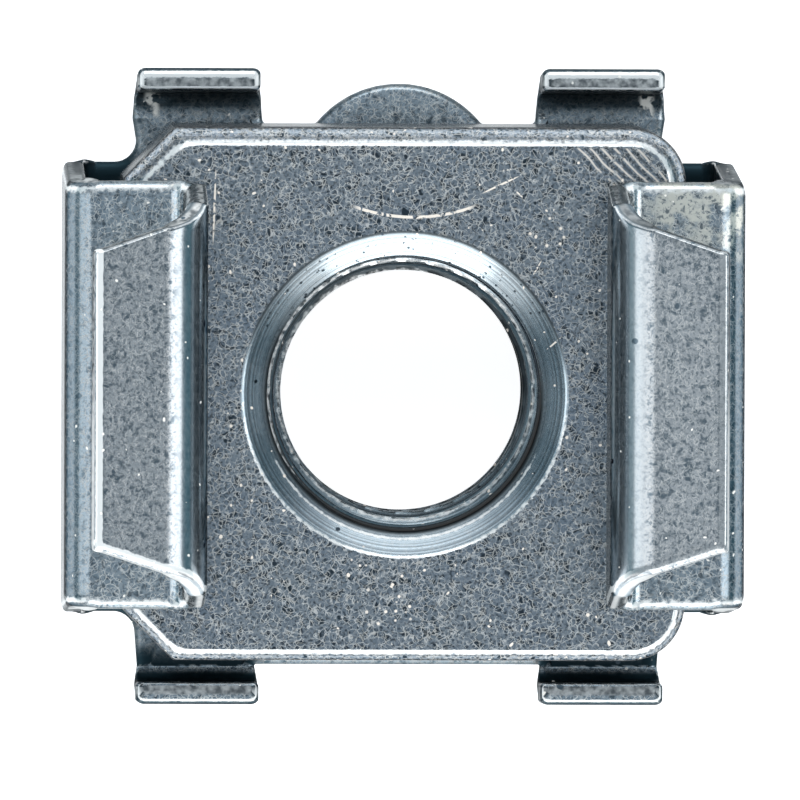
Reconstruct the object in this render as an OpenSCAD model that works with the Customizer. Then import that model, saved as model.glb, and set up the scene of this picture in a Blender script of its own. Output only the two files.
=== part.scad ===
// Rack cage nut: a square steel nut held loosely in a folded sheet cage.
// The cage lies on its base plate. +Z is the way the screw comes out of the front of the nut,
// +X runs across the two hooks, and the origin is where the screw's axis meets the base's rear face.

/* [Sheet] */
// Thickness of the spring steel sheet
sheet = 0.45; // [0.35:0.05:0.55]
// Inside radius of the folds at the foot and the top of each side wall
wall_fold_r = 0.25; // [0.1:0.05:0.4]
// Inside radius of the fold between each arm and its riser
riser_fold_r = 0.35; // [0.2:0.05:0.5]
// Inside radius of the fold between each riser and its lip
lip_fold_r = 0.7; // [0.3:0.05:0.9]
// Inside radius of the fold at the foot of each end tab
tab_fold_r = 0.3; // [0.15:0.05:0.35]

/* [Nut] */
// Width of the nut between the side walls
nut_w = 11.55; // [11:0.05:12]
// Depth of the nut between the end tabs
nut_d = 10.95; // [10.4:0.05:11.4]
// Thickness of the nut
nut_h = 4.5; // [3.5:0.1:5.5]
// Inside diameter of the thread
thread_d = 5; // [4.6:0.1:5.6]
// Diameter of the countersink at each end of the thread
countersink_d = 6.68; // [6:0.02:7]
// Angle across the countersink
countersink_angle = 105; // [90:5:120]
// Diameter where the front countersink turns into the steeper lead-in
lead_in_d = 5.8; // [5.7:0.05:6]
// Depth of the lead-in, which opens up the first turns of the thread
lead_in_h = 2; // [1:0.1:2.2]
// Size of the bevel round the front and rear faces
nut_bevel = 0.32; // [0.1:0.02:0.5]
// Size of the two cropped corners on the left
crop = 1.05; // [0.6:0.05:1.5]
// Radius of the two rolled corners on the right
roll_r = 1.15; // [0.6:0.05:1.5]

/* [Cage] */
// Width of the cage over its side walls
cage_w = 13.95; // [13.6:0.05:14.6]
// Width of each side wall along its foot
foot_w = 9.3; // [9:0.02:9.6]
// Width of each arm over the nut
arm_w = 8.76; // [8.4:0.02:9]
// Room for the nut to rise before it meets the arms
nut_rise = 0.2; // [0.1:0.05:0.5]
// Diameter of the hole in the base behind the nut
screw_hole_d = 7; // [6.6:0.1:8]
// Radius of the rounding at the outer corners of the walls and tabs
sheared_r = 0.18; // [0.05:0.01:0.25]

/* [Hooks] */
// Gap between the two hooks
hook_gap = 8.2; // [7.8:0.02:8.4]
// Height of the slot that takes the edge of the rack panel
panel_slot = 2.8; // [2:0.1:3.5]
// Width over the free edges of the two lips
lip_span = 13; // [12:0.1:13.4]
// Angle by which each lip rises from the panel
lip_rise = 15; // [5:1:20]
// Width of each riser where it turns into the lip
riser_top_w = 8.1; // [7.5:0.02:8.3]
// Width of each lip at its root
lip_root_w = 7.06; // [6.8:0.02:7.3]
// Width of each lip at its free edge
lip_w = 6.16; // [5.4:0.02:6.6]

/* [Base plate] */
// Reach of the plate's upper edge from the screw's axis
plate_up = 5.44; // [5.3:0.02:5.6]
// Reach of the plate's lower edge from the screw's axis
plate_down = 5.74; // [5.3:0.02:5.76]
// Radius of the round tongue on the upper edge
tongue_r = 2.19; // [1.5:0.01:2.5]
// Reach of the tongue from the screw's axis
tongue_reach = 6.28; // [5.8:0.02:6.5]
// Radius of the hollow where each ear meets a tab
ear_hollow_r = 0.45; // [0.1:0.05:0.5]

/* [End tabs] */
// Distance over the outer faces of the upper and lower tabs
tab_span = 13.08; // [13:0.02:13.6]
// Distance between the centre lines of the left and right tabs
tab_pitch = 8.34; // [8:0.02:8.6]
// Height of each tab above the rest plane
tab_h = 2.2; // [1.5:0.1:3]
// Width of each tab at its tip
tab_w = 2.53; // [2.2:0.01:2.7]
// Width of the two upper tabs at their root
upper_root_w = 2.68; // [2.3:0.01:2.8]
// Width of the two lower tabs at their root
lower_root_w = 2.43; // [2.2:0.01:2.7]

/* [Hidden] */
$fn = 96;
// Longer than the part, for cuts that pass right through it
reach = 30;
// Turn between one flat of the nut's bevel and the next, round a rolled corner
roll_step = 18;
// How far a shape reaches into the one that it is fused with
lap = 0.2;

// Heights, from the rest plane upwards
nut_z = sheet;
arm_z = nut_z + nut_h + nut_rise;
arm_top = arm_z + sheet;
riser_z = arm_top + riser_fold_r;
riser_top = arm_top + panel_slot - lip_fold_r;

// Places across the cage
wall_x = cage_w / 2;
wall_bend = wall_fold_r + sheet;
riser_x = hook_gap / 2;
slot_x = riser_x + sheet;
arm_x = slot_x + riser_fold_r;
lip_x = slot_x + lip_fold_r;
lip_root_x = lip_x - (lip_fold_r + sheet / 2) * sin(lip_rise);
lip_run = (lip_span / 2 - lip_x + lip_fold_r * sin(lip_rise)) / cos(lip_rise);
lip_taper = (lip_root_w - lip_w) / 2 / (lip_span / 2 - lip_root_x);
plate_x = tab_pitch / 2 + tab_w / 2;

// Edge view of a foot, side wall and arm: what is left between two rounded outlines
module wall_section() {
    difference() {
        translate([0, arm_top / 2]) {
            difference() {
                rounded_end(wall_x, arm_top, wall_bend);
                rounded_end(wall_x - sheet, arm_top - 2 * sheet, wall_fold_r);
            }
        }
        square([arm_x, reach]);
    }
}

// Outline round both folds of a hook, grown outwards from the face that looks into the slot
module hook_outline(grow) {
    translate([arm_x, riser_z])
        circle(riser_fold_r + grow);
    translate([lip_x, riser_top])
        circle(lip_fold_r + grow);
    translate([slot_x - grow, riser_z])
        square([riser_fold_r + grow, riser_top - riser_z]);
}

// Edge view of a hook: riser and lip, with the slot for the panel cut out of them
module hook_section() {
    difference() {
        union() {
            hook_outline(sheet);
            translate([lip_x, riser_top])
                rotate(lip_rise)
                    square([lip_run, lip_fold_r + sheet]);
        }
        hook_outline(0);
        translate([arm_x, arm_top])
            square([reach, riser_top - arm_top]);
        translate([lip_x, riser_top])
            rotate(lip_rise)
                translate([0, -riser_fold_r])
                    square([reach, riser_fold_r + lip_fold_r]);
    }
}

// Width of a wing at each height: [half width, height]
function wing_edge() = [
    [foot_w / 2, 0],
    [foot_w / 2, wall_bend],
    [arm_w / 2, arm_z],
    [arm_w / 2, arm_top],
    [riser_top_w / 2, riser_top],
    [lip_root_w / 2, riser_top + 2 * lip_fold_r],
    [lip_root_w / 2, reach]
];

// Prism that narrows a wing as it rises
module wing_widths() {
    edge = wing_edge();
    mirrored = [for (i = [len(edge) - 1:-1:0]) [-edge[i].x, edge[i].y]];
    rotate([90, 0, 90])
        linear_extrude(reach)
            polygon(concat(edge, mirrored));
}

// What is sheared off beside a lip: its side slants inwards from the fold to past the free edge
module lip_corner_cut() {
    translate([0, 0, riser_top])
        linear_extrude(reach)
            polygon([
                [slot_x, riser_top_w / 2],
                [lip_root_x, lip_root_w / 2],
                [wall_x, lip_root_w / 2 - (wall_x - lip_root_x) * lip_taper],
                [wall_x, reach],
                [slot_x, reach]
            ]);
}

// One folded wing, on the +X side
module wing() {
    difference() {
        intersection() {
            rotate([90, 0, 0])
                linear_extrude(reach, center = true) {
                    wall_section();
                    hook_section();
                }
            wing_widths();
            linear_extrude(reach)
                rounded_end(wall_x, foot_w, sheared_r);
        }
        for (side = [0, 1])
            mirror([0, side, 0])
                lip_corner_cut();
    }
}

// Strip of width w from the axis to x, with its two outer corners rounded
module rounded_end(x, w, r) {
    translate([0, -w / 2])
        square([x - r, w]);
    translate([x - 2 * r, r - w / 2])
        square([2 * r, w - 2 * r]);
    for (side = [-1, 1])
        translate([x - r, side * (w / 2 - r)])
            circle(r);
}

// Outline of a tab seen from the front, pointing along +Y: its sides leave the plate at root_y
module tab_outline(root_y, root_w) {
    tip_y = tab_span / 2;
    polygon([
        [-tab_w / 2, root_y - lap],
        [tab_w / 2, root_y - lap],
        [root_w / 2, root_y],
        [tab_w / 2, tip_y - sheared_r],
        [-tab_w / 2, tip_y - sheared_r],
        [-root_w / 2, root_y]
    ]);
    translate([sheared_r - tab_w / 2, tip_y - 2 * sheared_r])
        square([tab_w - 2 * sheared_r, 2 * sheared_r]);
    for (side = [-1, 1])
        translate([side * (tab_w / 2 - sheared_r), tip_y - sheared_r])
            circle(sheared_r);
}

// Edge view of a tab: neck, fold and upright
module tab_section(root_y) {
    intersection() {
        translate([0, reach / 2])
            difference() {
                rounded_end(tab_span / 2, reach, tab_fold_r + sheet);
                rounded_end(tab_span / 2 - sheet, reach - 2 * sheet, tab_fold_r);
            }
        translate([root_y - lap, 0])
            square([reach, tab_h]);
    }
}

// One tab, bent up from the plate
module tab(root_y, root_w) {
    intersection() {
        rotate([90, 0, 90])
            linear_extrude(reach, center = true)
                tab_section(root_y);
        linear_extrude(reach)
            tab_outline(root_y, root_w);
    }
}

// Hollow between an ear and the side of a tab, at the corner (x, y)
module ear_hollow(x, y) {
    difference() {
        translate([x - lap, y - lap])
            square(ear_hollow_r + lap);
        translate([x + ear_hollow_r, y + ear_hollow_r])
            circle(ear_hollow_r);
    }
}

// Flat outline of the base plate, with its ears and its tongue
module plate_outline() {
    translate([-plate_x, -plate_down])
        square([2 * plate_x, plate_down + plate_up]);
    translate([wall_bend - wall_x, -foot_w / 2])
        square([cage_w - 2 * wall_bend, foot_w]);
    translate([0, tongue_reach - tongue_r])
        circle(tongue_r);
    for (right = [0, 1], low = [0, 1])
        mirror([right, 0])
            mirror([0, low])
                ear_hollow(plate_x, foot_w / 2);
}

// The cage, folded from one piece of sheet
module cage() {
    color("lightslategray") {
        difference() {
            linear_extrude(sheet)
                plate_outline();
            translate([0, 0, -sheet])
                cylinder(d = screw_hole_d, h = 3 * sheet);
        }
        for (right = [0, 1])
            mirror([right, 0, 0]) {
                wing();
                translate([tab_pitch / 2, 0, 0])
                    tab(plate_up, upper_root_w);
                translate([tab_pitch / 2, 0, 0])
                    mirror([0, 1, 0])
                        tab(plate_down, lower_root_w);
            }
    }
}

// Outline of the nut: cropped corners on the left, rolled corners on the right
module nut_outline() {
    x = nut_w / 2;
    y = nut_d / 2;
    polygon([
        [-x, crop - y],
        [crop - x, -y],
        [x - roll_r, -y],
        [x - roll_r, y],
        [crop - x, y],
        [-x, y - crop]
    ]);
    translate([x - 2 * roll_r, roll_r - y])
        square([2 * roll_r, nut_d - 2 * roll_r]);
    for (side = [-1, 1])
        translate([x - roll_r, side * (y - roll_r)])
            circle(roll_r);
}

// Distance from the axis to the line that touches the nut's right-hand half and faces the given angle
function touch(angle) =
    (nut_w / 2 - roll_r) * cos(angle) + (nut_d / 2 - roll_r) * sin(angle) + roll_r;

// Bevel that takes nut_bevel off the top face and the side, along an edge at distance x that faces angle
module edge_bevel(x, angle) {
    rotate([90, 0, angle])
        linear_extrude(reach, center = true)
            polygon([
                [x - 2 * nut_bevel, nut_h + nut_bevel],
                [x + nut_bevel, nut_h - 2 * nut_bevel],
                [x + nut_bevel, nut_h + nut_bevel]
            ]);
}

// The bevel round the whole top face, in short flats where it turns a rolled corner
module face_bevel() {
    cropped_x = (nut_w / 2 + nut_d / 2 - crop) / sqrt(2);
    edge_bevel(nut_w / 2, 180);
    for (side = [0, 1])
        mirror([0, side, 0]) {
            edge_bevel(cropped_x, 135);
            for (angle = [0:roll_step:90])
                edge_bevel(touch(angle), angle);
        }
}

// Countersink at the top end of the thread
module countersink() {
    spread = tan(countersink_angle / 2);
    depth = (countersink_d - thread_d) / 2 / spread;
    translate([0, 0, nut_h - depth])
        cylinder(d1 = thread_d, d2 = countersink_d + 2 * depth * spread, h = 2 * depth);
}

// Steep cone under the front countersink
module lead_in() {
    start = (countersink_d - lead_in_d) / 2 / tan(countersink_angle / 2);
    taper = (lead_in_d - thread_d) / (lead_in_h - start);
    translate([0, 0, nut_h - lead_in_h])
        cylinder(d1 = thread_d, d2 = thread_d + taper * (lead_in_h + lap), h = lead_in_h + lap);
}

// The nut, bevelled and countersunk the same way at both faces, with a lead-in at the front
module nut() {
    color("lightsteelblue")
        translate([0, 0, nut_z])
            difference() {
                linear_extrude(nut_h)
                    nut_outline();
                translate([0, 0, -nut_h])
                    cylinder(d = thread_d, h = 3 * nut_h);
                lead_in();
                for (rear = [0, 1])
                    translate([0, 0, rear * nut_h])
                        mirror([0, 0, rear]) {
                            face_bevel();
                            countersink();
                        }
            }
}

cage();
nut();
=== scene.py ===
# Rack cage nut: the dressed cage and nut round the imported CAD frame
import functools
import math

import bmesh
import bpy
import mathutils
import numpy as np
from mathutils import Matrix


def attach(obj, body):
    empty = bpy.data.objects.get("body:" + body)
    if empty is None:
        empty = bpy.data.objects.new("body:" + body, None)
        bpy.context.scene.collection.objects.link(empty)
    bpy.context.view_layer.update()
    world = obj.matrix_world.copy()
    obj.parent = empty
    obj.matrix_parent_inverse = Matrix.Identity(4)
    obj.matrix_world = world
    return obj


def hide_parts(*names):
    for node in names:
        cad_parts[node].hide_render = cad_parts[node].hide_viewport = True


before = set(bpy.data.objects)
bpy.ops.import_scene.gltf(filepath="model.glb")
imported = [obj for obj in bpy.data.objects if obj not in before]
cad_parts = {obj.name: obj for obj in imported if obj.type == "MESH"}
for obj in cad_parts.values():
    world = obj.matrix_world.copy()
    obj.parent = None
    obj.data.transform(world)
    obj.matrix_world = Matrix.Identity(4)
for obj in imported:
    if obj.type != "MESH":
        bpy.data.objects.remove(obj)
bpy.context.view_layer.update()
print("frame loaded")


def hexToLinear(code):
    # each sRGB channel goes through the standard curve to linear light
    channels = np.array([int(code[i:i + 2], 16) for i in (1, 3, 5)]) / 255.0
    linear = np.where(channels <= 0.04045, channels / 12.92, ((channels + 0.055) / 1.055) ** 2.4)
    return (*linear.tolist(), 1.0)


def smooth(value, low, high):
    # 0 below low, 1 above high, and a soft S between them
    t = np.clip((value - low) / (high - low), 0.0, 1.0)
    return t * t * (3.0 - 2.0 * t)


def spread(start, end, count, guard=0.0):
    # even steps from start to end, with one extra step at distance guard from each end
    steps = np.linspace(start, end, count)
    if guard > 0.0:
        side = np.sign(end - start) * guard
        steps = np.concatenate([[start, start + side], steps[1:-1], [end - side, end]])
    return steps


def gridFaces(rows, columns, wrapRows=False, wrapColumns=False):
    # quads between neighbouring places of a grid whose points are numbered row by row
    r = np.arange(rows if wrapRows else rows - 1)
    c = np.arange(columns if wrapColumns else columns - 1)
    r, c = np.meshgrid(r, c, indexing="ij")
    nextR, nextC = (r + 1) % rows, (c + 1) % columns
    corners = ((r, c), (nextR, c), (nextR, nextC), (r, nextC))
    return np.stack([row * columns + column for row, column in corners], axis=-1)


def runAlong(pieces):
    # a flat line made of straights and arcs; for each of them its places, a + t (b - a) or c + r (cos, sin),
    # and its outward normals, which point to the right of the way along
    places, normals = [], []
    for piece in pieces:
        if piece[0] == "line":
            _, start, end, count, guard = piece
            start, end = np.array(start, float), np.array(end, float)
            length = np.linalg.norm(end - start)
            t = spread(0.0, length, count, min(guard, length / 4)) / length
            along = (end - start) / length
            places.append(start + t[:, None] * (end - start))
            normals.append(np.tile([along[1], -along[0]], (len(t), 1)))
        else:
            _, centre, radius, fromAngle, toAngle, count = piece
            a = np.radians(np.linspace(fromAngle, toAngle, count))
            out = np.stack([np.cos(a), np.sin(a)], axis=1)
            places.append(np.array(centre, float) + radius * out)
            normals.append(out * (1.0 if toAngle > fromAngle else -1.0))
    return places, normals


def makePiece(name, points, faces, values, material, sharpAngle):
    # points in millimetres and quads or longer faces go into one mesh whose doubles are merged
    mesh = bpy.data.meshes.new(name)
    mesh.from_pydata((points * 0.001).tolist(), [], faces)
    for key, value in values.items():
        attribute = mesh.attributes.new(key, "FLOAT", "POINT")
        attribute.data.foreach_set("value", np.ascontiguousarray(value, dtype=np.float32))
    shape = bmesh.new()
    shape.from_mesh(mesh)
    bmesh.ops.remove_doubles(shape, verts=shape.verts, dist=2e-7)
    loose = [v for v in shape.verts if not v.link_faces]
    bmesh.ops.delete(shape, geom=loose, context="VERTS")
    bmesh.ops.recalc_face_normals(shape, faces=shape.faces)
    openEdges = sum(1 for e in shape.edges if len(e.link_faces) != 2)
    shape.to_mesh(mesh)
    shape.free()
    mesh.shade_smooth()
    mesh.set_sharp_from_angle(angle=math.radians(sharpAngle))
    mesh.materials.append(material)
    piece = bpy.data.objects.new(name, mesh)
    bpy.context.scene.collection.objects.link(piece)
    triangles = sum(len(p.vertices) - 2 for p in mesh.polygons)
    print(f"{name}: {triangles} triangles, {openEdges} open edges")
    return piece


def addNode(tree, kind, settings=None, *values, out=0, **inputs):
    # one node with its settings; values feed its inputs in order, named ones by name ("i6" is number 6,
    # "_" stands for a space), each a constant or the socket that feeds it; gives back the output asked for
    node = tree.nodes.new("ShaderNode" + kind)
    for key, value in (settings or {}).items():
        setattr(node, key, value)
    sockets = list(zip(node.inputs, values))
    for key, value in inputs.items():
        numbered = key[0] == "i" and key[1:].isdigit()
        sockets.append((node.inputs[int(key[1:])] if numbered else node.inputs[key.replace("_", " ")], value))
    for socket, value in sockets:
        if isinstance(value, bpy.types.NodeSocket):
            tree.links.new(value, socket)
        else:
            socket.default_value = value
    return node.outputs[out] if node.outputs else None


# the sheared and tumbled edge of the sheet, shared by plate, wings and tabs
sheet = dict(
    thickness=0.45,
    sagIn=0.10, sagOut=0.12,     # how far the rolled-over edge sinks below the inside and the outside face
    plateIn=0.26, plateOut=0.14,   # how wide the roll-over is on the plate's top and underside
    wingIn=0.10, wingOut=0.30,     # the same on walls and arms
    hookIn=0.08, hookOut=0.14,     # and on risers and lips
    tabIn=0.08, tabOut=0.16,
    holeRounding=0.05,
    plateWear=0.15, wingWear=0.85, hookWear=0.5, tabWear=0.4,   # how far each edge is burnished
    hookFrontHighlight=0.9,           # and the hooks' front edges, where it is a painted highlight
    # painted shade on the steep part of the plate's roll-over
    plateEdgeShade=0.7,
    cutBelow=0.02,               # share of the roll-over's width below which the edge is fracture
    stretchLimit=0.35,           # the stretched side of a fold pulls in by this share of its bulge
    bulgeReach=0.7,              # how far in from the edge a fold bulges
)
edgeAngle = np.radians(np.linspace(0, 90, 6))


def wearAt(rolled):
    # burnishing is a bell curve about the middle of the roll-over, with none on its flat or its steep end
    return np.exp(-((np.asarray(rolled) - 0.5) / 0.24) ** 2)


def edgeColumn(deeper=1.0):
    # edge profile from the inside face round to the outside face: a quarter ellipse, a straight and a quarter
    # ellipse; gives each point's share of the inside and of the outside roll-over's width, and its height;
    # deeper multiplies how far the outside roll-over sinks
    a = edgeAngle[1:]
    top = np.stack([1 - np.sin(a), 0 * a, sheet["thickness"] - sheet["sagIn"] * (1 - np.cos(a))], axis=1)
    b = a[::-1]
    bottom = np.stack([0 * b, 1 - np.sin(b), deeper * sheet["sagOut"] * (1 - np.cos(b))], axis=1)
    return np.concatenate([top, bottom])


cage = dict(
    wallX=6.975, wallFold=0.25, riserFold=0.35, lipFold=0.70, tabFold=0.30,
    nutHeight=4.5, nutRise=0.2,
    footWidth=9.3, armWidth=8.76,
    hookGap=8.2, panelSlot=2.8, lipSpan=13.0, lipRise=15.0,
    riserRootWidth=8.66, riserTopWidth=8.1, lipRootWidth=7.04, lipWidth=6.16,
    lipTurns=(19, 29, 47), lipTurnWidths=(8.02, 7.72, 7.36),   # widths at these degrees round the lip's fold
    holeRadius=3.5,
    plateUp=5.44, plateDown=5.74, plateX=5.435,
    tongueRadius=2.19, tongueReach=6.28, neckFillet=0.2, earHollow=0.45,
    tabSpan=13.08, tabPitch=8.34, tabHeight=2.2, tabWidth=2.53,
    upperRootWidth=2.68, lowerRootWidth=2.43,
    upperFillet=0.12, lowerFillet=0.04,
    lipTipIn=0.19, lipTipOut=0.15,   # roll-over of the lips' free edges
    tabTipOut=0.15, upperLean=4.0, lowerLean=-2.0,   # degrees that the tabs lean outwards
    frontRoll=0.16,    # how much wider the hook's roll-over is along its front end
    riserSink=1.3,     # and how much deeper the outside roll-over sinks along the riser
    foldBulge=0.09, tabBulge=0.03,   # how far the squeezed side of a fold swells past the sheared edge
    # where painted shade on the plate starts and is full: in the ear pockets beside the walls, and next to
    # the lower tabs
    earShade=(5.1, 5.6), tabShadeDown=(5.2, 5.5), tabShadeOut=(2.7, 3.0),
    # angles of the tip's rounding between which a tab is worn, and how strong the painted shade on its inside
    # face is
    upperMarks=((0.8, 1.5), 0.85), lowerMarks=((0.8, 1.12), 1.0),
    acrossWing=46, acrossTab=18,
)


def plateRightHalf():
    # the plate's right-hand outline from the middle of the lower edge round to the tip of the tongue,
    # straights and arcs in order; a join is a straight where a wing or tab carries on
    c = cage
    wallLine = c["wallX"] - c["wallFold"] - sheet["thickness"]
    hollow, footEdge = c["earHollow"], c["footWidth"] / 2
    hollowY = footEdge + hollow
    tabX = c["tabPitch"] / 2
    lowY, upY = c["plateDown"] + c["lowerFillet"], c["plateUp"] + c["upperFillet"]
    lowIn, lowOut = tabX - c["lowerRootWidth"] / 2, tabX + c["lowerRootWidth"] / 2
    upIn, upOut = tabX - c["upperRootWidth"] / 2, tabX + c["upperRootWidth"] / 2
    tongueY = c["tongueReach"] - c["tongueRadius"]
    neck = c["neckFillet"]
    neckY = c["plateUp"] + neck
    neckX = math.sqrt((c["tongueRadius"] + neck) ** 2 - (neckY - tongueY) ** 2)
    neckAngle = math.degrees(math.atan2(neckY - tongueY, neckX))
    plateX = c["plateX"]
    return [
        ("line", (0, -c["plateDown"]), (lowIn - c["lowerFillet"], -c["plateDown"]), 18, 0.03),
        ("arc", (lowIn - c["lowerFillet"], -lowY), c["lowerFillet"], 90, 0, 5),
        ("join", (lowIn, -lowY), (lowOut, -lowY), c["acrossTab"]),
        ("line", (lowOut, -lowY), (plateX, -hollowY), 5, 0.03),
        ("arc", (plateX + hollow, -hollowY), hollow, 180, 90, 9),
        ("line", (plateX + hollow, -footEdge), (wallLine, -footEdge), 4, 0.03),
        ("join", (wallLine, -footEdge), (wallLine, footEdge), c["acrossWing"]),
        ("line", (wallLine, footEdge), (plateX + hollow, footEdge), 4, 0.03),
        ("arc", (plateX + hollow, hollowY), hollow, -90, -180, 9),
        ("line", (plateX, hollowY), (upOut, upY), 5, 0.03),
        ("join", (upOut, upY), (upIn, upY), c["acrossTab"]),
        ("arc", (upIn - c["upperFillet"], upY), c["upperFillet"], 0, -90, 6),
        ("line", (upIn - c["upperFillet"], c["plateUp"]), (neckX, c["plateUp"]), 8, 0.03),
        ("arc", (neckX, neckY), neck, -90, neckAngle - 180, 6),
        ("arc", (0, tongueY), c["tongueRadius"], neckAngle, 90, 26),
    ]


def plateStations():
    # every station round the plate: edge place, outward normal, and where its top and bottom rows end;
    # in a join the rows run level with the joined sheet, and the edge between them is left open
    rollIn, rollOut = sheet["plateIn"], sheet["plateOut"]
    place, normal, top, bottom, opened = [], [], [], [], []
    for piece in plateRightHalf():
        if piece[0] == "join":
            _, start, end, count = piece
            start, end = np.array(start, float), np.array(end, float)
            along = (end - start) / np.linalg.norm(end - start)
            outward = np.array([along[1], -along[0]])
            t = np.linspace(0, 1, count)[1:-1, None]
            topRow = (start + rollIn * along) * (1 - t) + (end - rollIn * along) * t
            bottomRow = (start + rollOut * along) * (1 - t) + (end - rollOut * along) * t
            n = np.tile(outward, (count - 2, 1))
            place.append((topRow + bottomRow) / 2)
            normal.append(n)
            top.append(topRow)
            bottom.append(bottomRow)
            opened.append(np.ones(count - 2, bool))
            # the last straight before the join ends exactly at its corner, facing along the join
            place[-2][-1], normal[-2][-1] = start, -along
            top[-2][-1], bottom[-2][-1] = start + rollIn * along, start + rollOut * along
            joinEnd = (end, along)
        else:
            p, n = runAlong([piece])
            p, n = p[0], n[0]
            p = p if not place else p[1:]
            n = n if len(p) == len(n) else n[1:]
            if place and opened[-1][0]:
                p, n = np.concatenate([[joinEnd[0]], p]), np.concatenate([[joinEnd[1]], n])
            place.append(p)
            normal.append(n)
            top.append(p - rollIn * n)
            bottom.append(p - rollOut * n)
            opened.append(np.zeros(len(p), bool))
    # the left half goes back the same way with x turned over; the marks of what is open have no x
    *flats, opened = (np.concatenate(a) for a in (place, normal, top, bottom, opened))
    whole = [np.concatenate([a, a[::-1][1:-1] * [-1, 1]]) for a in flats]
    return *whole, np.concatenate([opened, opened[::-1][1:-1]])


def plateSurface():
    # a ring of stations, each with one closed loop: over the top from the hole to the edge,
    # down the sheared edge, back underneath, and up the wall of the hole
    t, rollIn, rollOut, hole = sheet["thickness"], sheet["plateIn"], sheet["plateOut"], sheet["holeRounding"]
    place, normal, top, bottom, opened = plateStations()
    n = len(place)
    # angles round the hole keep their order, at least a third of a degree apart
    angle = np.unwrap(np.arctan2(place[:, 1], place[:, 0]))
    step = np.maximum(np.diff(np.append(angle, angle[0] + 2 * math.pi)), math.radians(0.35))
    angle = angle[0] + np.cumsum(np.insert(step, 0, 0.0))[:-1] * 2 * math.pi / step.sum()
    ray = np.stack([np.cos(angle), np.sin(angle)], axis=1)
    holeR = cage["holeRadius"]
    # rows from the hole's rim (0) to the edge (1), closer together near both
    rowShares = np.concatenate([[0.0, 0.012], np.linspace(0, 1, 9)[1:-1], [0.985, 1.0]])
    loops = []

    def addLoop(flat, z, sheared, burnish, grime=0.0):
        # values kept with each point: height, fracture, inside share, burnishing, tone of the lips and
        # painted shade
        sideways = np.abs(flat[:, 0])
        # painted shade on the top face only: in the ear pockets and next to the lower tabs
        byTabs = smooth(-flat[:, 1], *cage["tabShadeDown"]) * smooth(sideways, *cage["tabShadeOut"])
        shadeAndStain = np.maximum(smooth(sideways, *cage["earShade"]), byTabs) * (z > t / 2)
        values = (z, sheared, z / t, burnish, 0.0, np.maximum(shadeAndStain, grime))
        loops.append(np.column_stack([flat, *(np.broadcast_to(value, (n,)) for value in values)]))

    rim = ray * (holeR + hole)
    for s in rowShares:
        addLoop(rim * (1 - s) + top * s, t, 0.0, 0.0)
    for shareIn, shareOut, z in edgeColumn():
        flat = place - normal * (shareIn * rollIn + shareOut * rollOut)
        joined = top + (bottom - top) * (t - z) / t
        flat = np.where(opened[:, None], joined, flat)
        rolled = max(shareIn, shareOut)
        # painted shade on the steep part of the roll-over
        shadeAndStain = sheet["plateEdgeShade"] * (sheet["cutBelow"] < rolled < 0.3)
        addLoop(flat, z, float(rolled < sheet["cutBelow"]), sheet["plateWear"] * wearAt(rolled), shadeAndStain)
    for s in rowShares[::-1]:
        addLoop(rim * (1 - s) + bottom * s, 0.0, 0.0, 0.0)
    a = np.radians(np.linspace(-90, 0, 5))[1:]
    wall = [(hole - hole * math.cos(x), hole + hole * math.sin(x)) for x in a]
    wall += [(0.0, t / 2)]
    wall += [(hole - hole * math.cos(x), t - hole - hole * math.sin(x)) for x in a[::-1]]
    for d, z in wall:
        addLoop(ray * (holeR + d), z, 1.0, 0.0)
    grid = np.stack(loops, axis=1)
    quads = gridFaces(n, len(loops), True, True)
    # no edge faces where a wing or tab carries on
    edgeStart = len(rowShares) - 1
    edgeEnd = len(rowShares) + len(edgeColumn())
    both = opened | np.roll(opened, -1)
    keep = np.ones(quads.shape[:2], bool)
    keep[np.ix_(both, np.arange(edgeStart, edgeEnd))] = False
    return grid.reshape(-1, 8), quads[keep]


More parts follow.
